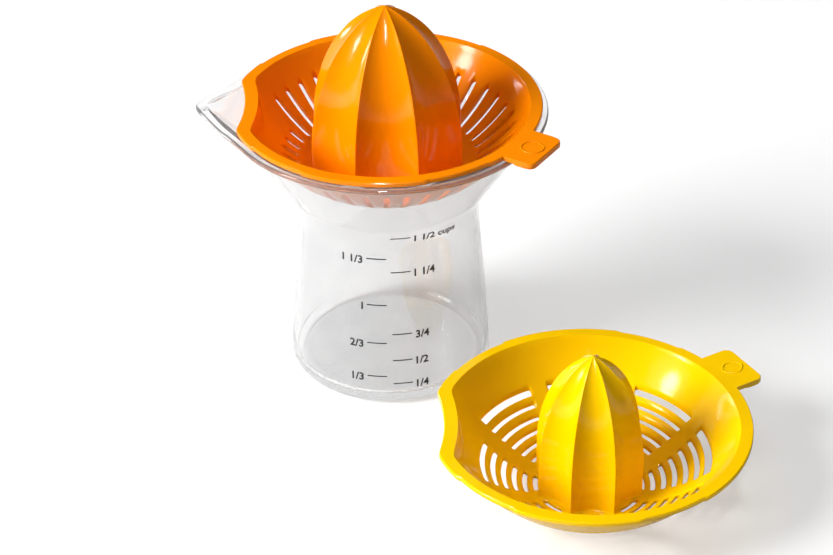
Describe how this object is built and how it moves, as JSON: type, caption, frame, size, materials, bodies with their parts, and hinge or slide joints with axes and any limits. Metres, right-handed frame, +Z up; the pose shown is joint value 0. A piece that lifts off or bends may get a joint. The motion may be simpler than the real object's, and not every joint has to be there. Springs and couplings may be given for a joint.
{
  "type": "citrus juicer",
  "caption": "Clear measuring jug with a pouring spout and two fluted citrus reamers in slotted strainer dishes: the large one on the jug, the small one standing beside it.",
  "frame": {"origin": "centre of the jug's underside, on the surface that it stands on", "axes": "+Z up along the jug's axis, the spout towards -X, the printed scale towards -Y"},
  "size_m": [0.2219, 0.2218, 0.1615],
  "materials": {
    "clear_plastic": "clear, glossy, injection moulded",
    "orange_plastic": "glossy, opaque orange, injection moulded",
    "yellow_plastic": "glossy, opaque yellow, injection moulded",
    "black_print": "matt black printing on the jug's wall"
  },
  "bodies": {
    "jug": {"jug": "clear_plastic"},
    "large_reamer": {"large_reamer": "orange_plastic"},
    "small_reamer": {"small_reamer": "yellow_plastic"}
  },
  "joints": [
    {"name": "large_reamer_lift", "type": "slide", "parent": "jug", "child": "large_reamer", "axis": [0, 0, 1], "range_m": [0, 0.1]},
    {"name": "small_reamer_lift", "type": "slide", "parent": "jug", "child": "small_reamer", "axis": [0, 0, 1], "range_m": [0, 0.07]}
  ]
}
